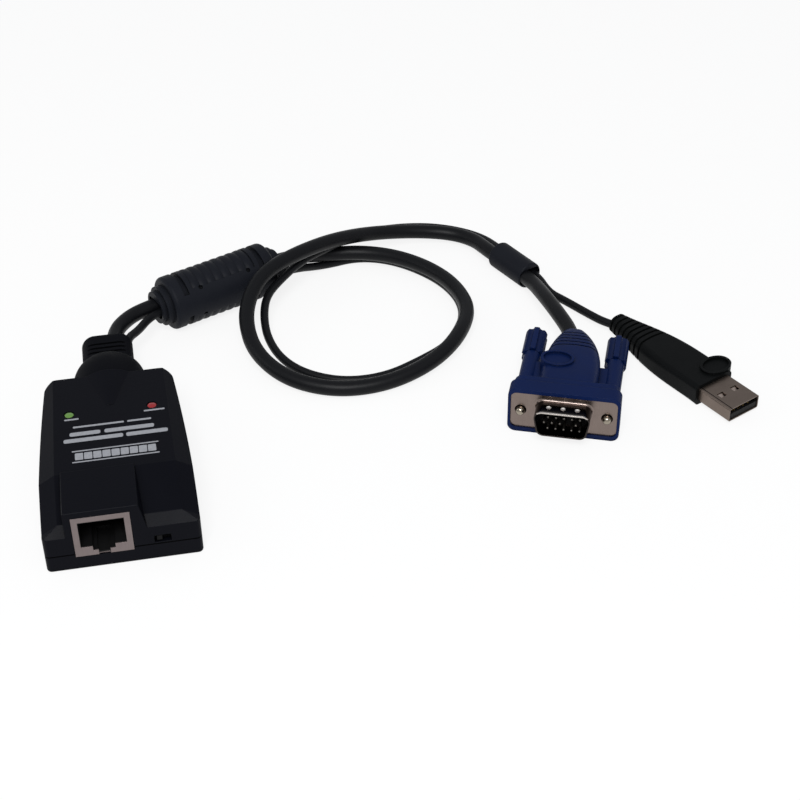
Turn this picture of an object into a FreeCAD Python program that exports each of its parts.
"""KVM dongle: a server interface module with its network jack, a captive video cable and a captive USB cable.

Millimetres, +Z up.  The module stands on the surface Z = 0 with its jack facing -Y, and the origin is
the middle of its base.  The cables leave the back of the module side by side, pass a moulded choke, lie in
one loop on the surface, pass a short sleeve and part to the video plug and the USB plug.
"""
import FreeCAD
import Part
import Sketcher
import math
import os
import re
from FreeCAD import Placement, Rotation, Vector

doc = FreeCAD.newDocument("kvm_dongle")
sheet = doc.addObject("Spreadsheet::Sheet", "Sizes")
pieces = []

SIZES = {
    # module housing
    "housing_length": 61.0, "front_width": 41.4, "rear_width": 36.2, "wall": 1.6, "front_corner": 1.4,
    "rear_corner": 3.8, "base_height": 5.5, "floor": 1.6, "base_round": 0.8, "seam_gap": 0.12,
    "face_height": 11.4, "facet_depth": 2.6, "facet_height": 14.0, "ramp_end": 17.0,
    "roof_height": 19.0, "roof_rear_height": 18.1, "edge_drop": 2.7, "edge_inset": 4.4,
    "rear_edge_inset": 2.4, "roof_thickness": 1.8, "low_cavity_height": 10.4, "high_cavity_start": 21.0,
    "high_cavity_width": 28.0,
    # raised block over the jack
    "hump_left": -14.6, "hump_right": 5.1, "hump_draft": 1.6, "hump_height": 19.6, "hump_length": 17.2,
    "hump_round": 0.45,
    # fairing and cable boot
    "fairing_start": 46.0, "fairing_tip_width": 6.0, "fairing_tip_spring": 13.0,
    "fairing_tip_rise": 0.5, "bell_width": 21.2, "bell_height": 19.8, "bell_spring": 11.5,
    "bell_length": 16.5, "bell_lift": 0.8, "neck_width": 15.2, "neck_height": 8.6, "neck_axis": 8.8,
    "neck_corner": 4.1, "boot_length": 29.0, "neck_tip_round": 2.6, "rib_pitch": 2.1,
    "rib_cut_width": 0.9, "rib_cut_depth": 0.7, "boot_rib_start": 18.0, "boot_flange": 1.8,
    "boot_flange_lip": 1.2,
    # circuit board and fasteners
    "board_bottom": 2.9, "board_thickness": 1.6, "board_gap": 0.5, "boss_radius": 2.1,
    "boss_height": 6.5, "boss_front_x": 16.9, "boss_rear_x": 14.3, "boss_front_y": 8.0,
    "boss_rear_y": 53.5, "screw_radius": 1.0, "screw_clearance": 0.2, "screw_head_radius": 1.9,
    "screw_head_height": 1.2, "screw_head_recess": 0.3, "screw_length": 8.5,
    # network jack
    "jack_left": -12.65, "jack_width": 15.3, "jack_height": 13.1, "jack_depth": 18.2,
    "jack_sheet": 0.35, "jack_clearance": 0.12, "insert_play": 0.03, "jack_bar": 1.6,
    "jack_foot_height": 3.0, "jack_foot_length": 3.1, "jack_toe_height": 1.6, "jack_toe_length": 1.4,
    "jack_port_width": 11.9, "jack_port_depth": 13.0, "jack_port_height": 8.0, "latch_width": 6.0,
    "latch_height": 1.5, "latch_depth": 11.0, "catch_width": 3.6, "catch_depth": 9.0,
    "catch_floor": 0.8, "contact_start": 4.4, "contact_pitch": 1.02, "contact_width": 0.4,
    "contact_length": 7.5, "contact_slope": 18.0,
    # slide switch
    "switch_middle": 10.4, "switch_slot_width": 4.5, "switch_slot_height": 2.3, "switch_slot_sill": 0.5,
    "switch_width": 8.4, "switch_depth": 4.2, "switch_height": 4.6, "switch_gap": 0.35,
    "slider_width": 2.7, "slider_depth": 1.4, "slider_height": 1.5, "slider_play": 0.08,
    "nub_width": 1.4, "nub_set_back": 0.3, "slider_travel": 1.7, "slider_margin": 0.3,
    # indicator lights
    "light_x": 11.5, "light_y": 43.5, "light_radius": 1.25, "light_play": 0.25, "light_sink": 0.12,
    "light_foot_radius": 2.0, "light_foot_height": 1.2,
    # cables
    "video_cable_radius": 2.4, "usb_cable_radius": 1.3, "video_exit_x": 1.9, "usb_exit_x": 5.8,
    "bore_depth": 6.0,
    # choke
    "choke_x": 17.3, "choke_y": 61.75, "choke_angle": 23.1, "choke_radius": 8.65, "choke_start": 2.0,
    "choke_end": 38.7, "choke_round": 1.3, "collar_radius": 6.4, "collar_length": 2.0,
    "ring_radius": 5.3, "ring_length": 1.5, "core_radius": 7.0, "core_margin": 3.0, "core_bore": 8.8,
    "pair_width": 8.3, "pair_height": 5.4, "pair_corner": 1.6, "choke_lift": 0.05, "mould_tilt": 13.5,
    "slot_offset": 3.8, "slot_width": 1.8, "slot_depth": 1.0, "slot_spread": 130.0, "grip_pitch": 2.8,
    "grip_count": 8.0, "grip_cut_depth": 0.35, "grip_spread": 112.0, "pin_hole_offset": 9.8,
    "pin_hole_rise": 31.5, "pin_hole_radius": 0.7, "pin_hole_depth": 1.2,
    # sleeve
    "sleeve_x": 133.8, "sleeve_y": 68.5, "sleeve_height": 4.5, "sleeve_angle": -65.2,
    "sleeve_length": 16.5, "sleeve_radius": 4.5, "sleeve_round": 0.7, "sleeve_pair_width": 8.2,
    "sleeve_pair_shift": 0.1,
    # video plug
    "video_plug_x": 127.6, "video_plug_y": -15.65, "video_plug_angle": -21.8, "frame_width": 32.4,
    "frame_height": 15.2, "frame_corner": 2.4, "frame_lip": 0.5, "frame_depth": 4.4,
    "collar_width": 30.6, "collar_height": 13.8, "collar_depth": 7.4, "flange_width": 30.8,
    "flange_height": 12.5, "flange_corner": 1.8, "flange_thickness": 0.8, "dshell_top": 16.9,
    "dshell_bottom": 14.1, "dshell_height": 8.4, "dshell_corner": 2.3, "dshell_length": 5.8,
    "dshell_sheet": 0.4, "dshell_flare": 0.7, "dimple_pitch": 4.1, "dimple_radius": 0.8,
    "dimple_depth": 0.22, "pin_pitch": 2.29, "pin_row": 1.98, "pin_stagger": 0.57, "pin_radius": 0.38,
    "pin_reach": 5.0, "pin_root": 2.0, "insulator_play": 0.04, "insulator_depth": 5.0,
    "hood_length": 38.0, "hood_width": 16.9, "hood_height": 12.4, "hood_corner": 3.0,
    "hood_tail_corner": 2.4, "tunnel_radius": 2.7, "tunnel_end": 26.0, "web_height": 4.0,
    "web_end": 21.5, "groove_depth": 0.45, "hood_lean": 1.0, "hood_groove_count": 5.0,
    "hood_groove_pitch": 1.9, "hood_groove_width": 0.6, "hood_groove_middle": 11.0,
    "hood_groove_radius": 16.0, "pad_x": -4.2, "pad_y": 18.3, "pad_long": 5.0, "pad_short": 3.9,
    "pad_top": 6.6, "pad_rim": 0.85, "pad_dish": 0.7, "jackscrew_spacing": 24.99,
    "jackscrew_radius": 1.4, "jackscrew_gap": 0.3, "jackscrew_reach": 1.9, "jackscrew_seat": 8.0,
    "knob_radius": 3.4, "knob_length": 11.3, "knob_gap": 0.3, "flute_radius": 1.0, "flute_count": 6.0,
    "knob_tip_round": 0.6,
    # USB plug
    "usb_plug_x": 181.5, "usb_plug_y": -18.6, "usb_plug_angle": 25.5, "usb_shell_width": 12.0,
    "usb_shell_height": 4.5, "usb_shell_sheet": 0.32, "usb_shell_round": 0.6, "usb_reach": 12.5,
    "usb_seat": 6.0, "window_width": 2.3, "window_length": 2.0, "window_offset": 2.65, "window_y": 5.6,
    "tongue_height": 1.9, "strip_start": 1.2, "strip_width": 1.0, "strip_length": 7.6,
    "strip_thickness": 0.12, "strip_pitch": 2.0, "grip_width": 14.6, "grip_height": 7.0,
    "grip_corner": 1.6, "grip_length": 42.5, "grip_tail_width": 6.6, "grip_tail_height": 5.8,
    "usb_groove_count": 8.0, "usb_groove_pitch": 2.1, "usb_groove_width": 0.8,
    "usb_groove_middle": 20.0, "usb_groove_radius": 19.0, "usb_pad_x": 4.7, "usb_pad_y": 16.8,
    "usb_pad_long": 5.2, "usb_pad_short": 4.0, "usb_pad_rise": 0.6,
}


def add_size(name, amount):
    """A new cell of the sheet, named by its alias."""
    add_size.row += 1
    sheet.set("A%d" % add_size.row, name)
    sheet.set("B%d" % add_size.row, str(amount))
    sheet.setAlias("B%d" % add_size.row, name)


add_size.row = 0
for size_name, size_amount in SIZES.items():
    add_size(size_name, size_amount)
doc.recompute()


# ---------------------------------------------------------------------------------------- small helpers
def formula(text):
    """The formula with each name pointing at its cell in the sheet."""
    return re.sub(r"\b[a-z]\w*\b(?!\()", lambda found: "Sizes." + found.group(), str(text))


def value(text):
    """What a formula over the sheet's names comes to."""
    return float(sheet.evalExpression(formula(text)))


def bind(thing, **formulas):
    """Tie properties of an object to formulas over the sheet."""
    for name, text in formulas.items():
        thing.setExpression(name, formula(text))


def locate(thing, x="0", y="0", z="0"):
    """Tie where an object stands to formulas over the sheet."""
    for axis, text in zip("xyz", (x, y, z)):
        thing.setExpression("Placement.Base." + axis, formula(text))


def node(piece, place=None):
    """List a sub-part for export, standing in the frame of the assembly that it belongs to."""
    if place is not None:
        piece.Placement = place.multiply(piece.Placement)
    pieces.append(piece)
    return piece


def sketch_on(body, name, plane, offset="0"):
    """An empty sketch on a plane of the body's own origin, moved along the plane's normal."""
    sketch = body.newObject("Sketcher::SketchObject", name)
    support = [item for item in body.Origin.OriginFeatures if item.Role == plane][0]
    sketch.AttachmentSupport = [(support, "")]
    sketch.MapMode = "FlatFace"
    sketch.setExpression("AttachmentOffset.Base.z", formula(offset))
    return sketch


def arc_between(start, end, radius):
    """The shorter arc from one point to the next, with its centre on the left if the radius is positive."""
    chord = end - start
    rise = math.sqrt(max(radius * radius - chord.Length * chord.Length / 4, 0))
    left = Vector(-chord.y, chord.x, 0).normalize()
    middle = start + chord * 0.5 + left * (rise if radius > 0 else -rise)
    circle = Part.Circle(middle, Vector(0, 0, 1), abs(radius))
    if radius > 0:
        return Part.ArcOfCircle(circle, circle.parameter(start), circle.parameter(end))
    return Part.ArcOfCircle(circle, circle.parameter(end), circle.parameter(start))


def outline(body, name, plane, corners, offset="0"):
    """A closed outline of corners (x, y), counterclockwise; a third formula is the radius of an arc to it."""
    sketch = sketch_on(body, name, plane, offset)
    places = [Vector(value(corner[0]), value(corner[1]), 0) for corner in corners]
    ends = []
    for index, corner in enumerate(corners):
        start, end = places[index - 1], places[index]
        if len(corner) == 2:
            sketch.addGeometry(Part.LineSegment(start, end))
            ends.append((1, 2))
            continue
        radius = value(corner[2])
        sketch.addGeometry(arc_between(start, end, radius))
        ends.append((1, 2) if radius > 0 else (2, 1))
        mark = sketch.addConstraint(Sketcher.Constraint("Radius", index, abs(radius)))
        sketch.setExpression("Constraints[%d]" % mark, formula("abs(%s)" % corner[2]))
    for index, corner in enumerate(corners):
        following = (index + 1) % len(corners)
        tail, head = ends[index][1], ends[following][0]
        sketch.addConstraint(Sketcher.Constraint("Coincident", index, tail, following, head))
        for axis, text, now in (("DistanceX", corner[0], places[index].x),
                                ("DistanceY", corner[1], places[index].y)):
            mark = sketch.addConstraint(Sketcher.Constraint(axis, index, tail, now))
            sketch.setExpression("Constraints[%d]" % mark, formula(text))
    return sketch


def rounded(middle_x, middle_y, width, height, radius):
    """The corners of a rectangle with round corners."""
    left, right = "(%s)-(%s)/2" % (middle_x, width), "(%s)+(%s)/2" % (middle_x, width)
    low, high = "(%s)-(%s)/2" % (middle_y, height), "(%s)+(%s)/2" % (middle_y, height)
    less, more = "%s-(%s)", "%s+(%s)"
    return [(less % (right, radius), low), (right, more % (low, radius), radius),
            (right, less % (high, radius)), (less % (right, radius), high, radius),
            (more % (left, radius), high), (left, less % (high, radius), radius),
            (left, more % (low, radius)), (more % (left, radius), low, radius)]


def rectangle(left, low, right, high):
    """The corners of a plain rectangle."""
    return [(right, low), (right, high), (left, high), (left, low)]


def circles(body, name, plane, rounds, offset="0"):
    """A sketch of circles, each (x, y, radius)."""
    sketch = sketch_on(body, name, plane, offset)
    for index, (x, y, radius) in enumerate(rounds):
        middle = Vector(value(x), value(y), 0)
        sketch.addGeometry(Part.Circle(middle, Vector(0, 0, 1), value(radius)))
        for constraint, text in ((Sketcher.Constraint("Radius", index, value(radius)), radius),
                                 (Sketcher.Constraint("DistanceX", index, 3, middle.x), x),
                                 (Sketcher.Constraint("DistanceY", index, 3, middle.y), y)):
            mark = sketch.addConstraint(constraint)
            sketch.setExpression("Constraints[%d]" % mark, formula(text))
    return sketch


def settle(feature):
    """Work the model out and stop if the new feature failed."""
    doc.recompute()
    if "Invalid" in feature.State or feature.Shape.isNull() or not feature.Shape.isValid():
        raise ValueError("%s failed: %s" % (feature.Label, feature.State))
    return feature


def pad(body, sketch, length, reverse=False, both=False, kind="Pad"):
    """A pad (or pocket) of a sketch; both spreads it evenly to the two sides."""
    feature = body.newObject("PartDesign::" + kind, kind)
    feature.Profile = sketch
    feature.SideType = "Symmetric" if both else "One side"
    feature.Reversed = reverse
    bind(feature, Length=length)
    return settle(feature)


def pocket(body, sketch, length, reverse=False, both=False):
    """A pocket that must take something away."""
    before = body.Shape.Volume
    feature = pad(body, sketch, length, reverse, both, "Pocket")
    if body.Shape.Volume > before - 1e-3:
        raise ValueError("nothing is cut by " + sketch.Label)
    return feature


def loft(body, *sections, ruled=False, kind="AdditiveLoft"):
    """A loft through the sections."""
    feature = body.newObject("PartDesign::" + kind, kind)
    feature.Profile = sections[0]
    feature.Sections = list(sections[1:])
    feature.Ruled = ruled
    return settle(feature)


def mirrored(body, feature, plane):
    """The feature and its mirror image in a plane of the body's origin."""
    mirror = body.newObject("PartDesign::Mirrored", "Mirrored")
    mirror.Originals = [feature]
    mirror.MirrorPlane = ([item for item in body.Origin.OriginFeatures if item.Role == plane][0], [""])
    body.Tip = mirror
    return settle(mirror)


def revolve(body, sketch, axis, angle="360", both=False, kind="Revolution"):
    """A revolution or groove of a sketch about one of the sketch's own axes."""
    feature = body.newObject("PartDesign::" + kind, kind)
    feature.Profile = sketch
    feature.ReferenceAxis = (sketch, [axis])
    feature.Midplane = both
    bind(feature, Angle=angle)
    return settle(feature)


def edges(shape, test):
    """The names of the edges whose middle and direction pass a test."""
    names = []
    for index, edge in enumerate(shape.Edges, start=1):
        middle = edge.valueAt((edge.FirstParameter + edge.LastParameter) / 2)
        way = (edge.Vertexes[-1].Point - edge.Vertexes[0].Point)
        if way.Length > 1e-6:
            way.normalize()
        if test(middle, way):
            names.append("Edge%d" % index)
    return names


def fillet(body, radius, test):
    """Round the edges that pass a test."""
    feature = body.newObject("PartDesign::Fillet", "Fillet")
    feature.Base = (body.Tip if body.Tip is not feature else feature.BaseFeature, edges(body.Shape, test))
    bind(feature, Radius=radius)
    return settle(feature)


def primitive(kind, name, x="0", y="0", z="0", turn=None, **formulas):
    """A Part primitive tied to the sheet; turn is its rotation."""
    thing = doc.addObject("Part::" + kind, name)
    if turn is not None:
        thing.Placement.Rotation = turn
    bind(thing, **formulas)
    locate(thing, x, y, z)
    return thing


def fused(name, things):
    """One object of several."""
    thing = doc.addObject("Part::MultiFuse", name)
    thing.Shapes = things
    return thing


def cut(name, base, tool):
    """One object less another."""
    thing = doc.addObject("Part::Cut", name)
    thing.Base = base
    thing.Tool = tool
    return thing


MODULE = Placement(Vector(0, -value("(housing_length+boot_length)/2"), 0), Rotation())
CHOKE = Placement(Vector(value("choke_x"), value("choke_y"), value("choke_radius+choke_lift")),
                  Rotation(Vector(0, 0, 1), value("choke_angle")))
SLEEVE = Placement(Vector(value("sleeve_x"), value("sleeve_y"), value("sleeve_height")),
                   Rotation(Vector(0, 0, 1), value("sleeve_angle")))
VIDEO_PLUG = Placement(Vector(value("video_plug_x"), value("video_plug_y"), value("frame_height/2")),
                       Rotation(Vector(0, 0, 1), value("video_plug_angle")))
USB_PLUG = Placement(Vector(value("usb_plug_x"), value("usb_plug_y"), value("grip_height/2")),
                     Rotation(Vector(0, 0, 1), value("usb_plug_angle")))


# ---------------------------------------------------------------------------------------------- module
NECK = rounded("0", "neck_axis", "neck_width", "neck_height", "neck_corner")
BOARD_TOP = "(board_bottom+board_thickness)"
SCREW_SEAT = "(screw_head_recess+screw_head_height)"
BOW_DEPTH = "((front_width-rear_width)/2)"
BOW = "((housing_length*housing_length+{0}*{0})/(2*{0}))".format(BOW_DEPTH)


def plan(inset):
    """The housing's outline from above, bowed on its long sides, less an inset."""
    front, rear = "front_width/2-(%s)" % inset, "rear_width/2-(%s)" % inset
    low, high = inset, "housing_length-(%s)" % inset
    return [("-(%s)" % front, low, BOW), (front, low), (rear, high, BOW), ("-(%s)" % rear, high)]


def bosses(radius):
    """The four screw places as circles of a radius, the front pair first."""
    return [(side + "boss_%s_x" % end, "boss_%s_y" % end, radius)
            for end in ("front", "rear") for side in ("", "-")]


def jack_hole():
    """The jack's place in the front wall, with its clearance."""
    return rectangle("jack_left-jack_clearance", BOARD_TOP + "-jack_clearance",
                     "jack_left+jack_width+jack_clearance", BOARD_TOP + "+jack_height+jack_clearance")


def upright(middle, way):
    """An edge that stands upright."""
    return abs(way.z) > 0.99


def corner_rounds(body):
    """Round the four upright corners of the housing."""
    half = value("housing_length/2")
    fillet(body, "front_corner", lambda middle, way: upright(middle, way) and middle.y < half)
    fillet(body, "rear_corner", lambda middle, way: upright(middle, way) and middle.y > half)


def arch(body, name, width, height, spring, low, offset):
    """A section with upright sides and a round top, as two quarter curves of equal radius."""
    half = "(%s)/2" % width
    rise = "((%s)-(%s))" % (height, spring)
    bow = "(({0})*({0})+({1})*({1}))/(2*({1}))".format(half, rise)
    corners = [(half, low), (half, spring), ("0", height, bow), ("-(%s)" % half, spring, bow),
               ("-(%s)" % half, low)]
    return outline(body, name, "XZ_Plane", corners, "-(%s)" % offset)


def bevel_section(body, y, inset, roof):
    """The wedge that bevels the right long edge, at one distance from the front."""
    side = "front_width/2-(({0})-sqrt(({0})*({0})-({1})*({1})))".format(BOW, y)
    slope = "(edge_drop/edge_inset)"
    corners = [("(%s)+1" % side, "(%s)-((%s)+1)*%s" % (roof, inset, slope)),
               ("(%s)+1" % side, "(%s)+2" % roof),
               ("(%s)-(%s)-2/%s" % (side, inset, slope), "(%s)+2" % roof)]
    return outline(body, "bevel_section", "XZ_Plane", corners, "-(%s)" % y)


def top_cover():
    """The moulded top: facet, ramp, bevelled long edges, the block over the jack and the rear fairing."""
    body = doc.addObject("PartDesign::Body", "top_cover")
    pad(body, outline(body, "cover_plan", "XY_Plane", plan("0"), "base_height"), "roof_height+1-base_height")
    above = [("-1", "face_height"), ("0", "face_height"), ("facet_depth", "facet_height"),
             ("ramp_end", "roof_height"), ("housing_length", "roof_rear_height"),
             ("housing_length+1", "roof_rear_height"), ("housing_length+1", "roof_height+3"),
             ("-1", "roof_height+3")]
    pocket(body, outline(body, "roof_line", "YZ_Plane", above), "front_width*2", both=True)
    stations = [bevel_section(body, "0", "0", "face_height"),
                bevel_section(body, "facet_depth", "edge_inset", "facet_height"),
                bevel_section(body, "ramp_end", "edge_inset", "roof_height"),
                bevel_section(body, "housing_length", "rear_edge_inset", "roof_rear_height")]
    bevel = loft(body, *stations, ruled=True, kind="SubtractiveLoft")
    mirrored(body, bevel, "YZ_Plane")
    corner_rounds(body)
    block = [("hump_left", "base_height"), ("hump_right+hump_draft", "base_height"),
             ("hump_right+hump_draft", "face_height"), ("hump_right", "hump_height"),
             ("hump_left", "hump_height")]
    pad(body, outline(body, "hump_front", "XZ_Plane", block), "hump_length", reverse=True)
    top, back = value("hump_height-0.01"), value("hump_length-0.01")
    fillet(body, "hump_round", lambda middle, way: middle.z > top and middle.y < back)
    loft(body, arch(body, "fairing_tip", "fairing_tip_width", "roof_rear_height+fairing_tip_rise",
                    "fairing_tip_spring", "base_height", "fairing_start"),
         arch(body, "fairing_root", "bell_width", "bell_height", "bell_spring", "base_height",
              "housing_length"))
    low = outline(body, "low_cavity", "XY_Plane", plan("wall"), "base_height")
    pocket(body, low, "low_cavity_height-base_height", reverse=True)
    fall = "(roof_height-roof_rear_height)/(housing_length-ramp_end)"
    ceiling = "roof_height-roof_thickness-((%s)-ramp_end)*" + fall
    start, end = "high_cavity_start", "housing_length-wall"
    high = outline(body, "high_cavity", "YZ_Plane", [(start, "base_height"), (end, "base_height"),
                                                     (end, ceiling % end), (start, ceiling % start)])
    pocket(body, high, "high_cavity_width", both=True)
    pocket(body, outline(body, "jack_opening", "XZ_Plane", jack_hole()), "jack_depth+jack_clearance")
    sill = "base_height+switch_slot_sill"
    slot = rectangle("switch_middle-switch_slot_width/2", sill, "switch_middle+switch_slot_width/2",
                     sill + "+switch_slot_height")
    pocket(body, outline(body, "switch_slot", "XZ_Plane", slot), "wall")
    pocket(body, outline(body, "boot_hole", "XZ_Plane", NECK, "-housing_length"), "wall", reverse=True)
    holes = [(side + "light_x", "light_y", "light_radius+light_play") for side in ("", "-")]
    pocket(body, circles(body, "light_holes", "XY_Plane", holes, "base_height"), "roof_height", reverse=True)
    pad(body, circles(body, "front_bosses", "XY_Plane", bosses("boss_radius")[:2], BOARD_TOP), "boss_height")
    pad(body, circles(body, "rear_bosses", "XY_Plane", bosses("boss_radius")[2:], BOARD_TOP),
        "roof_rear_height-roof_thickness+0.5-(%s)" % BOARD_TOP)
    pocket(body, circles(body, "pilot_holes", "XY_Plane", bosses("screw_radius"), BOARD_TOP),
           SCREW_SEAT + "+screw_length+0.2-(%s)" % BOARD_TOP, reverse=True)
    return node(body, MODULE)


def base_cover():
    """The moulded base: a tray with round lower edges, four bosses and the screw holes."""
    body = doc.addObject("PartDesign::Body", "base_cover")
    pad(body, outline(body, "base_plan", "XY_Plane", plan("0")), "base_height-seam_gap")
    corner_rounds(body)
    fillet(body, "base_round", lambda middle, way: middle.z < 1e-3)
    hollow = outline(body, "tray", "XY_Plane", plan("wall"), "floor")
    pocket(body, hollow, "base_height", reverse=True)
    pad(body, circles(body, "board_bosses", "XY_Plane", bosses("boss_radius"), "floor"), "board_bottom-floor")
    pocket(body, circles(body, "screw_holes", "XY_Plane", bosses("screw_radius+screw_clearance")),
           "board_bottom", reverse=True)
    pocket(body, circles(body, "screw_recesses", "XY_Plane", bosses("screw_head_radius+screw_clearance")),
           SCREW_SEAT, reverse=True)
    pocket(body, outline(body, "jack_notch", "XZ_Plane", jack_hole()), "wall")
    pocket(body, outline(body, "boot_notch", "XZ_Plane", NECK, "-housing_length"), "wall", reverse=True)
    return node(body, MODULE)


def cover_screws():
    """Four screws up through the base and the board into the cover's bosses."""
    screws = []
    for index, (x, y, radius) in enumerate(bosses("screw_radius")):
        screws.append(primitive("Cylinder", "shank%d" % index, x, y, SCREW_SEAT, Radius=radius,
                                Height="screw_length"))
        screws.append(primitive("Cylinder", "head%d" % index, x, y, "screw_head_recess",
                                Radius="screw_head_radius", Height="screw_head_height"))
    return node(fused("cover_screws", screws), MODULE)


def strain_relief():
    """The moulded cable boot: a flange inside the rear wall, a bell against it and a ribbed neck."""
    body = doc.addObject("PartDesign::Body", "strain_relief")
    inside, end = "housing_length-wall-boot_flange", "housing_length+boot_length"
    pad(body, outline(body, "neck", "XZ_Plane", NECK, "-(%s)" % inside), "(%s)-(%s)" % (end, inside), True)
    tip = value(end) - 1e-3
    fillet(body, "neck_tip_round", lambda middle, way: middle.y > tip)
    wide = rounded("0", "neck_axis", "neck_width+2*boot_flange_lip", "neck_height+2*boot_flange_lip",
                   "neck_corner")
    pad(body, outline(body, "flange", "XZ_Plane", wide, "-(%s)" % inside), "boot_flange", True)
    shares = ((0, 1, 1, 0), (0.4, 0.99, 0.975, 0.1), (0.76, 0.91, 0.86, 1.0), (1, 0.76, 0.7, 3.0))
    bell = []
    for along, width, height, low in shares:
        bell.append(arch(body, "bell_section", "bell_width*%s" % width,
                         "bell_lift+(bell_height-bell_lift)*%s" % height, "bell_spring*%s" % height,
                         "bell_lift+%s" % low, "housing_length+bell_length*%s" % along))
    loft(body, *bell)
    for index in range(3):
        y = "housing_length+boot_rib_start+rib_pitch*%d" % index
        line = rectangle("-neck_width/2", y, "neck_width/2", y + "+rib_cut_width")
        cut_floor = "neck_axis+neck_height/2-rib_cut_depth"
        pocket(body, outline(body, "rib_cut", "XY_Plane", line, cut_floor), "rib_cut_depth+1", reverse=True)
    bores = [("video_exit_x", "neck_axis", "video_cable_radius"),
             ("usb_exit_x", "neck_axis", "usb_cable_radius")]
    pocket(body, circles(body, "bores", "XZ_Plane", bores, "-(%s)" % end), "bore_depth", reverse=True)
    return node(body, MODULE)


def circuit_board():
    """The board, clamped between the bosses of the two covers."""
    body = doc.addObject("PartDesign::Body", "circuit_board")
    front, rear = "front_width/2-wall-board_gap", "rear_width/2-wall-board_gap"
    near, far = "wall+board_gap", "housing_length-wall-boot_flange-board_gap"
    edge = [("-(%s)" % front, near), (front, near), (rear, far), ("-(%s)" % rear, far)]
    pad(body, outline(body, "board_edge", "XY_Plane", edge, "board_bottom"), "board_thickness")
    pocket(body, circles(body, "board_holes", "XY_Plane", bosses("screw_radius+screw_clearance"),
                         "board_bottom"), "board_thickness", reverse=True)
    return node(body, MODULE)


def board_parts():
    """The parts on the board, each (middle x, middle y, width, depth, height)."""
    for name, x, y, width, depth, height in (
            ("controller_chip", 7.5, 26.5, 10.0, 10.0, 1.1), ("video_chip", 0.5, 39.5, 7.0, 7.0, 1.0),
            ("isolation_transformer", -7.0, 27.5, 9.4, 12.6, 5.6), ("crystal_can", 8.0, 35.5, 4.6, 3.2, 1.6),
            ("video_header", -3.0, 51.5, 12.4, 4.6, 5.6), ("usb_header", 7.6, 51.5, 6.4, 4.6, 5.6)):
        for quantity, amount in (("x", x), ("y", y), ("width", width), ("depth", depth), ("height", height)):
            add_size(name + "_" + quantity, amount)
        node(primitive("Box", name, "{0}_x-{0}_width/2".format(name),
                       "{0}_y-{0}_depth/2-(housing_length+boot_length)/2".format(name), BOARD_TOP,
                       Length=name + "_width", Width=name + "_depth", Height=name + "_height"))


def light(name, side):
    """An indicator light: a clear pipe on the board with a round end just under the roof."""
    x = side + "light_x"
    roof = "roof_height-(light_y-ramp_end)*(roof_height-roof_rear_height)/(housing_length-ramp_end)"
    top = roof + "-light_sink-light_radius"
    foot = primitive("Cylinder", name + "_foot", x, "light_y", BOARD_TOP, Radius="light_foot_radius",
                     Height="light_foot_height")
    stem = primitive("Cylinder", name + "_stem", x, "light_y", BOARD_TOP, Radius="light_radius",
                     Height=top + "-(%s)" % BOARD_TOP)
    dome = primitive("Sphere", name + "_dome", x, "light_y", top, Radius="light_radius")
    return node(fused(name, [foot, stem, dome]), MODULE)


# --------------------------------------------------------------------------------------- network jack
def rj45_shield():
    """The bright sheet shield, with its front frame open for the plug and notched for the latch."""
    body = doc.addObject("PartDesign::Body", "rj45_shield")
    shell = rectangle("jack_left", BOARD_TOP, "jack_left+jack_width", BOARD_TOP + "+jack_height")
    pad(body, outline(body, "shield_front", "XZ_Plane", shell), "jack_depth", reverse=True)
    sheet_in = rectangle("jack_left+jack_sheet", BOARD_TOP + "+jack_sheet",
                         "jack_left+jack_width-jack_sheet", BOARD_TOP + "+jack_height-jack_sheet")
    pocket(body, outline(body, "shield_inside", "XZ_Plane", sheet_in, "-jack_sheet"),
           "jack_depth-2*jack_sheet")
    left, right = "jack_left+jack_bar", "jack_left+jack_width-jack_bar"
    foot, toe = BOARD_TOP + "+jack_foot_height", BOARD_TOP + "+jack_toe_height"
    port = [(left, BOARD_TOP + "+jack_height-jack_bar"), (left, foot), (left + "+jack_foot_length", foot),
            (left + "+jack_foot_length", toe), (left + "+jack_foot_length+jack_toe_length", toe),
            (left + "+jack_foot_length+jack_toe_length", BOARD_TOP + "-1"),
            (right + "-jack_foot_length-jack_toe_length", BOARD_TOP + "-1"),
            (right + "-jack_foot_length-jack_toe_length", toe), (right + "-jack_foot_length", toe),
            (right + "-jack_foot_length", foot), (right, foot), (right, BOARD_TOP + "+jack_height-jack_bar")]
    pocket(body, outline(body, "shield_port", "XZ_Plane", port), "jack_sheet")
    return node(body, MODULE)


def rj45_body():
    """The black insert of the jack: the port, the latch channel and the catch below it."""
    body = doc.addObject("PartDesign::Body", "rj45_body")
    fit = "jack_sheet+insert_play"
    block = rectangle("jack_left+" + fit, BOARD_TOP + "+" + fit, "jack_left+jack_width-(%s)" % fit,
                      BOARD_TOP + "+jack_height-(%s)" % fit)
    insert = outline(body, "insert", "XZ_Plane", block, "-jack_sheet")
    pad(body, insert, "jack_depth-2*jack_sheet", reverse=True)
    middle, foot = "(jack_left+jack_width/2)", BOARD_TOP + "+jack_foot_height"
    for name, width, low, high, depth in (
            ("port", "jack_port_width", foot, foot + "+jack_port_height", "jack_port_depth"),
            ("latch", "latch_width", foot + "-latch_height", foot + "+1", "latch_depth"),
            ("catch", "catch_width", BOARD_TOP + "+catch_floor", foot, "catch_depth")):
        hole = rectangle("%s-%s/2" % (middle, width), low, "%s+%s/2" % (middle, width), high)
        pocket(body, outline(body, name, "XZ_Plane", hole, "-jack_sheet"), depth)
    return node(body, MODULE)


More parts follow.
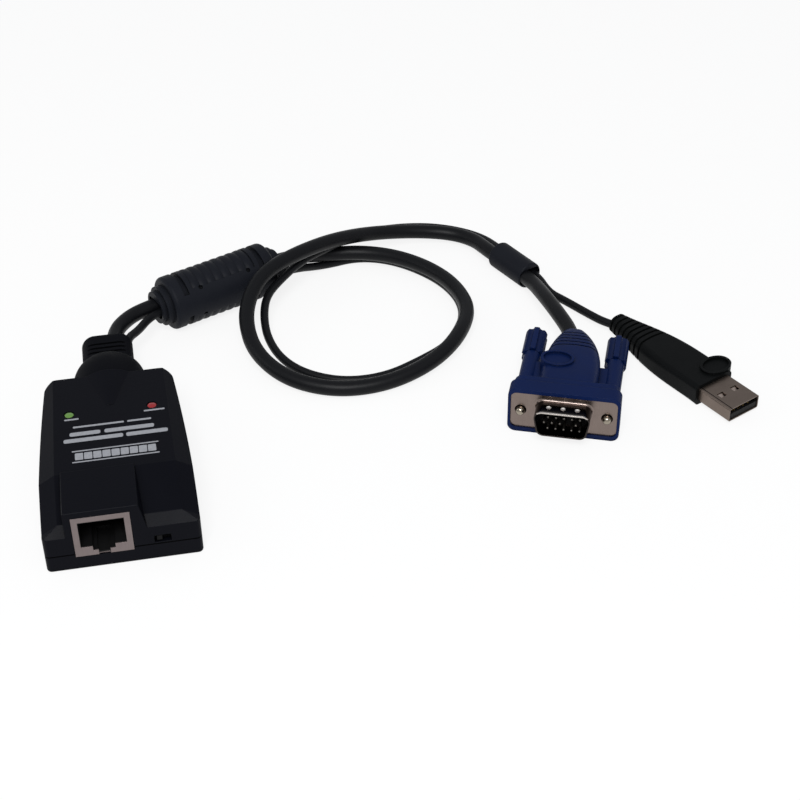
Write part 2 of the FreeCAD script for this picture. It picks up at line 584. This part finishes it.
def rj45_contacts():
    """Eight spring contacts that slope down from the port's ceiling towards its back."""
    ceiling = BOARD_TOP + "+jack_foot_height+jack_port_height"
    wires = []
    for index in range(8):
        x = "jack_left+jack_width/2+contact_pitch*%s-contact_width/2" % (index - 3.5)
        wires.append(primitive("Box", "contact%d" % index, x, "contact_start", ceiling + "-contact_width",
                               Rotation(Vector(1, 0, 0), -value("contact_slope")), Length="contact_width",
                               Width="contact_length", Height="contact_width"))
    return node(fused("rj45_contacts", wires), MODULE)


# --------------------------------------------------------------------------------------- slide switch
SWITCH_FRONT = "wall+switch_gap"
SLIDER_MIDDLE = "base_height+switch_slot_sill+switch_slot_height/2"


def switch_body():
    """The switch's case on the board, with the channel that its slider runs in."""
    case = primitive("Box", "switch_case", "switch_middle-switch_width/2", SWITCH_FRONT, BOARD_TOP,
                     Length="switch_width", Width="switch_depth", Height="switch_height")
    run = "(slider_width+slider_travel+2*slider_margin)"
    channel = primitive("Box", "switch_channel", "switch_middle-%s/2" % run, SWITCH_FRONT + "-1",
                        SLIDER_MIDDLE + "-slider_height/2-slider_play", Length=run,
                        Width="1+slider_depth+2*slider_play", Height="slider_height+2*slider_play")
    return node(cut("switch_body", case, channel), MODULE)


def switch_slider():
    """The slider at the left end of its travel, with the nub that shows in the cover's slot."""
    middle = "switch_middle-slider_travel/2"
    low = SLIDER_MIDDLE + "-slider_height/2"
    block = primitive("Box", "slider_block", middle + "-slider_width/2", SWITCH_FRONT + "+slider_play", low,
                      Length="slider_width", Width="slider_depth", Height="slider_height")
    nub = primitive("Box", "slider_nub", middle + "-nub_width/2", "nub_set_back", low, Length="nub_width",
                    Width=SWITCH_FRONT + "+slider_depth-nub_set_back", Height="slider_height")
    return node(fused("switch_slider", [block, nub]), MODULE)


# ------------------------------------------------------------------------------------- choke and sleeve
def tilt(sketch, degrees, reach="0"):
    """Turn a sketch about the body's X axis and move it out from that axis along its normal."""
    sketch.AttachmentOffset = Placement(Vector(), Rotation(Vector(1, 0, 0), degrees))
    sketch.setExpression("AttachmentOffset.Base.y", formula("-%s*sin(%r)" % (reach, degrees)))
    sketch.setExpression("AttachmentOffset.Base.z", formula("%s*cos(%r)" % (reach, degrees)))


def choke_overmould():
    """The moulded skin of the choke: stepped ends, two halves' slots, grips and ejector-pin marks."""
    body = doc.addObject("PartDesign::Body", "choke_overmould")
    left, right, radius, bend = "choke_start", "choke_end", "choke_radius", "choke_round"
    outer_left, outer_right = "choke_start-collar_length", "choke_end+collar_length"
    profile = [(outer_left + "-ring_length", "0"), (outer_right + "+ring_length", "0"),
               (outer_right + "+ring_length", "ring_radius"), (outer_right, "ring_radius"),
               (outer_right, "collar_radius"), (right, "collar_radius"), (right, radius + "-" + bend),
               (right + "-" + bend, radius, bend), (left + "+" + bend, radius),
               (left, radius + "-" + bend, bend), (left, "collar_radius"), (outer_left, "collar_radius"),
               (outer_left, "ring_radius"), (outer_left + "-ring_length", "ring_radius")]
    revolve(body, outline(body, "choke_profile", "XY_Plane", profile), "H_Axis")
    core = rectangle("choke_start+core_margin", "0", "choke_end-core_margin", "core_radius")
    revolve(body, outline(body, "core_room", "XY_Plane", core), "H_Axis", kind="Groove")
    first = "(choke_start+choke_end)/2-grip_pitch*grip_count/2"
    last = "(choke_start+choke_end)/2+grip_pitch*grip_count/2"
    bow = "((grip_pitch*grip_pitch/4+grip_cut_depth*grip_cut_depth)/(2*grip_cut_depth))"
    foot = "choke_radius-grip_cut_depth"
    for half in (0, 180):
        turn = 90 - value("mould_tilt") + half
        for slot in ("choke_start+slot_offset", "choke_end-slot_offset-slot_width"):
            window = rectangle(slot, "choke_radius-slot_depth", slot + "+slot_width", "choke_radius+1")
            sketch = outline(body, "slot", "XY_Plane", window)
            tilt(sketch, turn)
            revolve(body, sketch, "H_Axis", "slot_spread", True, "Groove")
        sketch = outline(body, "grip_room", "XY_Plane", rectangle(first, foot, last, "choke_radius+1"))
        tilt(sketch, turn)
        revolve(body, sketch, "H_Axis", "grip_spread", True, "Groove")
        ribs = [(first, foot + "-0.3"), (last, foot + "-0.3"), (last, foot)]
        for index in range(int(value("grip_count")), 0, -1):
            ribs.append((first + "+grip_pitch*%d" % (index - 1), foot, bow))
        sketch = outline(body, "grips", "XY_Plane", ribs)
        tilt(sketch, turn)
        revolve(body, sketch, "H_Axis", "grip_spread", True)
        for mark, rise in (("choke_start+pin_hole_offset", "pin_hole_rise"),
                           ("choke_end-pin_hole_offset", "pin_hole_rise"),
                           ("choke_start+pin_hole_offset", "-pin_hole_rise"),
                           ("choke_end-pin_hole_offset", "-pin_hole_rise")):
            sketch = circles(body, "pin_mark", "XY_Plane", [(mark, "0", "pin_hole_radius")])
            tilt(sketch, turn + value(rise), "(choke_radius-pin_hole_depth)")
            pocket(body, sketch, "pin_hole_depth+1", reverse=True)
    pair = rounded("0", "0", "pair_width", "pair_height", "pair_corner")
    pocket(body, outline(body, "cable_way", "YZ_Plane", pair), "choke_end*3", both=True)
    return node(body, CHOKE)


def choke_core():
    """The ferrite ring inside the choke."""
    turn = Rotation(Vector(0, 1, 0), 90)
    length = "choke_end-choke_start-2*core_margin"
    ring = primitive("Cylinder", "core_ring", "choke_start+core_margin", turn=turn, Radius="core_radius",
                     Height=length)
    bore = primitive("Cylinder", "core_bore_room", "choke_start+core_margin", turn=turn,
                     Radius="core_bore/2", Height=length)
    return node(cut("choke_core", ring, bore), CHOKE)


def cable_sleeve():
    """The short moulded sleeve that keeps the two cables together before they part."""
    body = doc.addObject("PartDesign::Body", "cable_sleeve")
    pad(body, circles(body, "sleeve_round", "YZ_Plane", [("0", "0", "sleeve_radius")]), "sleeve_length",
        both=True)
    fillet(body, "sleeve_round", lambda middle, way: True)
    pair = rounded("sleeve_pair_shift", "0", "sleeve_pair_width", "pair_height", "pair_corner")
    pocket(body, outline(body, "sleeve_way", "YZ_Plane", pair), "sleeve_length*2", both=True)
    return node(body, SLEEVE)


# ----------------------------------------------------------------------------------------- video plug
def dshell(inset):
    """The outline of the D-shaped shell from the front, with round corners, less an inset."""
    top, bottom = "(dshell_top/2-(%s))" % inset, "(dshell_bottom/2-(%s))" % inset
    half, radius = "(dshell_height/2-(%s))" % inset, "(dshell_corner-(%s))" % inset
    lean = "((dshell_top-dshell_bottom)/2/dshell_height)"
    slant = "sqrt(1+%s*%s)" % (lean, lean)
    wide, slim = "(%s*(%s+%s))" % (radius, slant, lean), "(%s*(%s-%s))" % (radius, slant, lean)
    low = [("%s-%s" % (bottom, slim), "-" + half),
           ("%s+%s*%s/%s" % (bottom, slim, lean, slant), "-%s+%s/%s" % (half, slim, slant), radius)]
    high = [("%s-%s*%s/%s" % (top, wide, lean, slant), "%s-%s/%s" % (half, wide, slant)),
            ("%s-%s" % (top, wide), half, radius)]
    return low + high + [("-(%s)" % high[1][0], high[1][1]), ("-(%s)" % high[0][0], high[0][1], radius),
                         ("-(%s)" % low[1][0], low[1][1]), ("-(%s)" % low[0][0], low[0][1], radius)]


def vga_shell():
    """The drawn steel shell of the video plug: flange, D-shaped wall with its flare, and three dimples."""
    body = doc.addObject("PartDesign::Body", "vga_shell")
    pad(body, outline(body, "shell_wall", "XZ_Plane", dshell("0")), "dshell_length")
    flange = rounded("0", "0", "flange_width", "flange_height", "flange_corner")
    pad(body, outline(body, "flange", "XZ_Plane", flange), "flange_thickness", reverse=True)
    reach = value("dshell_top/2+0.1")
    fillet(body, "dshell_flare", lambda middle, way: (
        abs(middle.y) < 1e-3 and abs(middle.x) < reach and abs(middle.z) < value("dshell_height/2+0.1")))
    room = outline(body, "shell_room", "XZ_Plane", dshell("dshell_sheet"), "dshell_length")
    pocket(body, room, "dshell_length+flange_thickness+1")
    screws = [(side + "jackscrew_spacing/2", "0", "jackscrew_radius+jackscrew_gap") for side in ("", "-")]
    pocket(body, circles(body, "flange_holes", "XZ_Plane", screws), "flange_thickness")
    marks = [("dimple_pitch*%d" % step, "-dshell_length/2-0.3", "dimple_radius") for step in (-1, 0, 1)]
    pocket(body, circles(body, "dimples", "XY_Plane", marks, "dshell_height/2-dimple_depth"),
           "dimple_depth+1", reverse=True)
    return node(body, VIDEO_PLUG)


def pin_places():
    """The pins' places from the front: three rows of five, without the fourth of the middle row."""
    places = []
    for row, shift in ((1, "pin_stagger"), (0, "-pin_stagger"), (-1, "pin_stagger")):
        for step in range(-2, 3):
            if (row, step) != (0, 1):
                places.append(("pin_pitch*%d+(%s)" % (step, shift), "pin_row*%d" % row))
    return places


def vga_insulator():
    """The black insulator that fills the shell behind the pins, with a hole for each pin."""
    body = doc.addObject("PartDesign::Body", "vga_insulator")
    block = dshell("dshell_sheet+insulator_play")
    pad(body, outline(body, "insulator", "XZ_Plane", block, "-insulator_depth"), "insulator_depth")
    holes = [(x, z, "pin_radius") for x, z in pin_places()]
    pocket(body, circles(body, "pin_holes", "XZ_Plane", holes), "pin_root")
    return node(body, VIDEO_PLUG)


def vga_pins():
    """Fourteen round pins with round tips."""
    parts = []
    for index, (x, z) in enumerate(pin_places()):
        parts.append(primitive("Cylinder", "pin%d" % index, x, "pin_root", z, Rotation(Vector(1, 0, 0), 90),
                               Radius="pin_radius", Height="pin_reach+pin_root-pin_radius"))
        parts.append(primitive("Sphere", "pin_tip%d" % index, x, "-pin_reach+pin_radius", z,
                               Radius="pin_radius"))
    return node(fused("vga_pins", parts), VIDEO_PLUG)


def oval(x, y, long, short):
    """The corners of an oval of four arcs."""
    small = "(0.85*%s)" % short
    gap = "(%s-%s)" % (long, small)
    large = "(({0}*{0}+{1}*{1}-{2}*{2})/(2*({1}-{2})))".format(gap, short, small)
    across = "%s*%s/(%s-%s)" % (large, gap, large, small)
    up = "(%s-%s)*%s/(%s-%s)" % (large, short, small, large, small)
    left, right = "%s-%s" % (x, across), "%s+%s" % (x, across)
    near, far = "%s-%s" % (y, up), "%s+%s" % (y, up)
    return [(left, near, small), (right, near, large), (right, far, small), (left, far, large)]


def grooved_loft(body, stations, middle, first, pitch, width, count):
    """A loft of rounded sections, cut by rings seen from above as deep as an inner loft of the same form."""
    def sections(inset):
        """The loft's sections, each (y, shift, width, height, corner), less an inset."""
        return [outline(body, "section", "XZ_Plane",
                        rounded(shift, "0", "%s-2*(%s)" % (wide, inset), "%s-2*(%s)" % (high, inset),
                                "%s-(%s)" % (corner, inset)), "-(%s)" % y)
                for y, shift, wide, high, corner in stations]
    loft(body, *sections("0"))
    rings = []
    for index in range(int(value(count))):
        inner = "%s+%s*%d" % (first, pitch, index)
        rings += [("0", middle, inner), ("0", middle, "%s+%s" % (inner, width))]
    pocket(body, circles(body, "grooves", "XY_Plane", rings), "frame_height*2", both=True)
    loft(body, *sections("groove_depth"))


def vga_hood():
    """The moulded hood of the video plug: frame, collar, screw tunnels, grooved grip and thumb pad."""
    body = doc.addObject("PartDesign::Body", "vga_hood")
    grooved_loft(body, [("frame_depth", "0", "hood_width", "hood_height", "hood_corner"),
                        ("hood_length*0.52", "0", "hood_width", "hood_height*0.95", "hood_corner"),
                        ("hood_length*0.74", "-hood_lean*0.2", "hood_width*0.86", "hood_height*0.85",
                         "hood_corner"),
                        ("hood_length*0.9", "-hood_lean*0.6", "hood_width*0.62", "hood_height*0.72",
                         "(hood_corner+hood_tail_corner)/2"),
                        ("hood_length", "-hood_lean", "hood_width*0.4", "hood_height*0.58",
                         "hood_tail_corner")],
                 "hood_groove_middle", "hood_groove_radius", "hood_groove_pitch", "hood_groove_width",
                 "hood_groove_count")
    frame = rounded("0", "0", "frame_width", "frame_height", "frame_corner")
    pad(body, outline(body, "frame", "XZ_Plane", frame, "frame_lip"), "frame_depth+frame_lip", reverse=True)
    collar = rounded("0", "0", "collar_width", "collar_height", "frame_corner")
    pad(body, outline(body, "collar", "XZ_Plane", collar), "collar_depth", reverse=True)
    web = rectangle("-jackscrew_spacing/2", "-web_height/2", "jackscrew_spacing/2", "web_height/2")
    pad(body, outline(body, "webs", "XZ_Plane", web), "web_end", reverse=True)
    tunnels = [(side + "jackscrew_spacing/2", "0", "tunnel_radius") for side in ("", "-")]
    pad(body, circles(body, "tunnels", "XZ_Plane", tunnels), "tunnel_end", reverse=True)
    thumb = oval("pad_x", "pad_y", "pad_long", "pad_short")
    pad(body, outline(body, "thumb_pad", "XY_Plane", thumb), "pad_top")
    dish = oval("pad_x", "pad_y", "(pad_long-pad_rim)", "(pad_short-pad_rim)")
    pocket(body, outline(body, "pad_dish", "XY_Plane", dish, "pad_top-pad_dish"), "pad_dish+1", reverse=True)
    seat = rounded("0", "0", "flange_width", "flange_height", "flange_corner")
    pocket(body, outline(body, "flange_seat", "XZ_Plane", seat, "frame_lip"), "frame_lip+flange_thickness")
    room = rectangle("-dshell_top/2", "-dshell_height/2", "dshell_top/2", "dshell_height/2")
    pocket(body, outline(body, "insulator_room", "XZ_Plane", room), "insulator_depth")
    bores = [(side + "jackscrew_spacing/2", "0", "jackscrew_radius+jackscrew_gap") for side in ("", "-")]
    pocket(body, circles(body, "screw_bores", "XZ_Plane", bores), "tunnel_end")
    return node(body, VIDEO_PLUG)


def thumbscrew(side, sign):
    """A thumbscrew: a six-fluted knob behind its tunnel and the steel screw that reaches out in front."""
    place = VIDEO_PLUG.multiply(Placement(Vector(sign * value("jackscrew_spacing/2"), 0, 0), Rotation()))
    knob = doc.addObject("PartDesign::Body", side + "_knob")
    start = "tunnel_end+knob_gap"
    pad(knob, circles(knob, "knob_round", "XZ_Plane", [("0", "0", "knob_radius")], "-(%s)" % start),
        "knob_length", reverse=True)
    tip = value(start + "+knob_length") - 1e-3
    fillet(knob, "knob_tip_round", lambda middle, way: middle.y > tip)
    groove = circles(knob, "flute", "XZ_Plane", [("knob_radius+flute_radius*0.2", "0", "flute_radius")],
                     "-(%s)" % start)
    flute = pocket(knob, groove, "knob_length", reverse=False)
    pattern = knob.newObject("PartDesign::PolarPattern", "flutes")
    pattern.Originals = [flute]
    pattern.Axis = ([item for item in knob.Origin.OriginFeatures if item.Role == "Y_Axis"][0], [""])
    bind(pattern, Occurrences="flute_count")
    knob.Tip = pattern
    doc.recompute()
    bore = circles(knob, "screw_bore", "XZ_Plane", [("0", "0", "jackscrew_radius")], "-(%s)" % start)
    pocket(knob, bore, "jackscrew_seat")
    node(knob, place)
    shaft = primitive("Cylinder", side + "_shaft", "0", start + "+jackscrew_seat", "0",
                      Rotation(Vector(1, 0, 0), 90), Radius="jackscrew_radius",
                      Height=start + "+jackscrew_seat+jackscrew_reach-jackscrew_radius")
    end = primitive("Sphere", side + "_screw_tip", "0", "jackscrew_radius-jackscrew_reach", "0",
                    Radius="jackscrew_radius")
    node(fused(side + "_screw", [shaft, end]), place)


# ------------------------------------------------------------------------------------------- USB plug
def usb_shell():
    """The folded steel shell of the USB plug, with its two windows above and below."""
    body = doc.addObject("PartDesign::Body", "usb_shell")
    outer = rounded("0", "0", "usb_shell_width", "usb_shell_height", "usb_shell_round")
    pad(body, outline(body, "usb_shell_front", "XZ_Plane", outer), "usb_reach+usb_seat", reverse=True)
    inner = rectangle("-usb_shell_width/2+usb_shell_sheet", "-usb_shell_height/2+usb_shell_sheet",
                      "usb_shell_width/2-usb_shell_sheet", "usb_shell_height/2-usb_shell_sheet")
    pocket(body, outline(body, "usb_shell_room", "XZ_Plane", inner), "usb_reach+usb_seat")
    for side in ("", "-"):
        left = "%swindow_offset-window_width/2" % side
        hole = rectangle(left, "window_y", left + "+window_width", "window_y+window_length")
        pocket(body, outline(body, "window", "XY_Plane", hole), "usb_shell_height*2", both=True)
    return node(body, USB_PLUG)


def usb_tongue():
    """The plastic tongue on the floor of the shell, with the block that closes its back."""
    wide = "(usb_shell_width-2*usb_shell_sheet)"
    low = "-usb_shell_height/2+usb_shell_sheet"
    tongue = primitive("Box", "tongue", "-%s/2" % wide, "usb_shell_sheet", low, Length=wide,
                       Width="usb_reach+usb_seat-usb_shell_sheet", Height="tongue_height")
    block = primitive("Box", "tongue_block", "-%s/2" % wide, "usb_reach", low, Length=wide, Width="usb_seat",
                      Height="usb_shell_height-2*usb_shell_sheet")
    return node(fused("usb_tongue", [tongue, block]), USB_PLUG)


def usb_contacts():
    """Four gold strips on the tongue."""
    strips = []
    for index in range(4):
        strips.append(primitive("Box", "strip%d" % index, "strip_pitch*%s-strip_width/2" % (index - 1.5),
                                "strip_start", "-usb_shell_height/2+usb_shell_sheet+tongue_height",
                                Length="strip_width", Width="strip_length", Height="strip_thickness"))
    return node(fused("usb_contacts", strips), USB_PLUG)


def usb_overmould():
    """The moulded grip of the USB plug: a block that tapers to a grooved tail, with a thumb pad."""
    body = doc.addObject("PartDesign::Body", "usb_overmould")
    grooved_loft(body, [("usb_reach", "0", "grip_width", "grip_height", "grip_corner"),
                        ("usb_reach+grip_length*0.42", "0", "grip_width*0.98", "grip_height*0.99",
                         "grip_corner*1.2"),
                        ("usb_reach+grip_length*0.62", "0", "grip_width*0.87", "grip_height*0.96",
                         "grip_corner*1.45"),
                        ("usb_reach+grip_length*0.82", "0", "grip_width*0.65", "grip_height*0.88",
                         "grip_corner*1.6"),
                        ("usb_reach+grip_length", "0", "grip_tail_width", "grip_tail_height",
                         "grip_corner*1.7")],
                 "usb_groove_middle", "usb_groove_radius", "usb_groove_pitch", "usb_groove_width",
                 "usb_groove_count")
    pad(body, outline(body, "usb_pad", "XY_Plane", oval("usb_pad_x", "usb_pad_y", "usb_pad_long",
                                                        "usb_pad_short")), "grip_height/2+usb_pad_rise")
    dish = oval("usb_pad_x", "usb_pad_y", "(usb_pad_long-pad_rim)", "(usb_pad_short-pad_rim)")
    pocket(body, outline(body, "usb_dish", "XY_Plane", dish, "grip_height/2+usb_pad_rise-pad_dish"),
           "pad_dish+1", reverse=True)
    seat = rounded("0", "0", "usb_shell_width", "usb_shell_height", "usb_shell_round")
    pocket(body, outline(body, "shell_seat", "XZ_Plane", seat), "usb_reach+usb_seat")
    return node(body, USB_PLUG)


# --------------------------------------------------------------------------------------------- cables
VIDEO_ROUTE = [
    (1.9, 39, 8.8), (1.9, 49.2, 8.8), (7.1, 57.4, 8.8), (13.6, 61.6, 8.7), (25.1, 66.4, 8.7),
    (41, 73.3, 8.7), (59.1, 81, 8.5), (73.1, 86.8, 4.3), (86.5, 86, 4.9), (98.3, 79.5, 5.1),
    (108.1, 68.2, 5.2), (112.5, 55.6, 5.2), (112.5, 43.4, 5.2), (105.5, 30, 5.1), (95.3, 21.7, 3.6),
    (81, 16.2, 2.6), (65.8, 16.3, 2.6), (52.6, 23.5, 3.6), (44.7, 35.5, 5.6), (42.9, 47.5, 8.8),
    (45.3, 57.3, 12), (51.5, 65, 15.4), (63.8, 73.8, 15.5), (78.5, 84.6, 12.8), (95.3, 94.8, 7),
    (113.8, 95.5, 4), (124, 89.4, 3.4), (127.8, 78.4, 4.4), (137, 58.4, 4.5), (138.6, 47.5, 6.8),
    (139.5, 34.8, 7.8), (140.6, 22.2, 7.9), (139.3, 15.2, 7.7)]
USB_ROUTE = [
    (5.8, 39, 8.8), (5.8, 45.5, 8.8), (9.9, 50.4, 8.3), (12.6, 55.4, 8.1), (15.6, 58.3, 8.2),
    (22.9, 61.5, 8.2), (36.7, 67.2, 8.3), (60.7, 77.2, 7.9), (71.8, 82.9, 1.7), (84.8, 83.8, 1.3),
    (96.8, 78.8, 1.3), (106.8, 67.8, 1.3), (112, 56.9, 1.3), (111.5, 46, 1.3), (104.6, 33.2, 1.3),
    (93.8, 26.6, 1.3), (82, 21.9, 1.3), (69.6, 21.6, 1.3), (59, 26.2, 1.6), (52.4, 33.8, 2.6),
    (49.3, 43.2, 4.4), (49.2, 53.1, 6.4), (51.4, 61.1, 8.4), (56.9, 67.9, 10), (64.4, 75.7, 10.8),
    (75.3, 83.8, 9.9), (87.7, 95.9, 5.3), (101.9, 104.6, 1.5), (115.8, 101.8, 1.4), (127.6, 91.7, 1.8),
    (132.6, 77.2, 4.2), (139.7, 61.5, 4.4), (142, 52.9, 3.4), (145.4, 47.4, 3), (150.9, 37.3, 3.2),
    (154.5, 31.9, 3.3), (159.5, 27.4, 3.5)]


def cable(name, route, radius_name):
    """A cable along its route: straight runs joined by arcs as large as the two runs allow."""
    radius = value(radius_name)
    points = [Vector(*point) for point in route]
    edges_of_path, radii = [], []
    at = points[0]
    for before, corner, after in zip(points, points[1:], points[2:]):
        into, out = (corner - before), (after - corner)
        turn = into.getAngle(out)
        reach = 0.45 * min(into.Length, out.Length)
        radii.append(reach / math.tan(turn / 2))
        into.normalize()
        out.normalize()
        start, end = corner - into * reach, corner + out * reach
        inward = (out - into).normalize()
        middle = corner + inward * (radii[-1] / math.cos(turn / 2) - radii[-1])
        edges_of_path.append(Part.LineSegment(at, start).toShape())
        edges_of_path.append(Part.Arc(start, middle, end).toShape())
        at = end
    edges_of_path.append(Part.LineSegment(at, points[-1]).toShape())
    path = Part.Wire(edges_of_path)
    section = Part.Face(Part.Wire(Part.Circle(points[0], points[1] - points[0], radius).toShape()))
    tube = doc.addObject("Part::Feature", name)
    tube.Shape = path.makePipe(section)
    expected = math.pi * radius ** 2 * path.Length
    if abs(tube.Shape.Volume / expected - 1) > 0.01:
        raise ValueError("%s is %.1f mm3, not %.1f" % (name, tube.Shape.Volume, expected))
    print("%s: %.1f mm long, radii %s" % (name, path.Length, [round(amount, 1) for amount in radii]))
    return node(tube)


top_cover()
base_cover()
cover_screws()
strain_relief()
circuit_board()
board_parts()
light("link_light", "-")
light("power_light", "")
rj45_shield()
rj45_body()
rj45_contacts()
switch_body()
switch_slider()
choke_overmould()
choke_core()
cable_sleeve()
vga_shell()
vga_insulator()
vga_pins()
vga_hood()
thumbscrew("left", -1)
thumbscrew("right", 1)
usb_shell()
usb_tongue()
usb_contacts()
usb_overmould()
cable("video_cable", VIDEO_ROUTE, "video_cable_radius")
cable("usb_cable", USB_ROUTE, "usb_cable_radius")


# --------------------------------------------------------------------------------------------- export
doc.recompute()
for thing in doc.Objects:
    if "Invalid" in thing.State or "Error" in thing.State:
        raise RuntimeError("%s failed: %s" % (thing.Label, thing.State))
os.makedirs("parts", exist_ok=True)
for piece in pieces:
    if piece.Shape.isNull() or not piece.Shape.isValid():
        raise RuntimeError("%s has no sound shape" % piece.Label)
    piece.Shape.exportStep("parts/%s.step" % piece.Label)
    box = piece.Shape.optimalBoundingBox()
    print("%-22s %2d solids %9.1f mm3  x %.1f..%.1f  y %.1f..%.1f  z %.2f..%.2f" % (
        piece.Label, len(piece.Shape.Solids), piece.Shape.Volume, box.XMin, box.XMax, box.YMin, box.YMax,
        box.ZMin, box.ZMax))
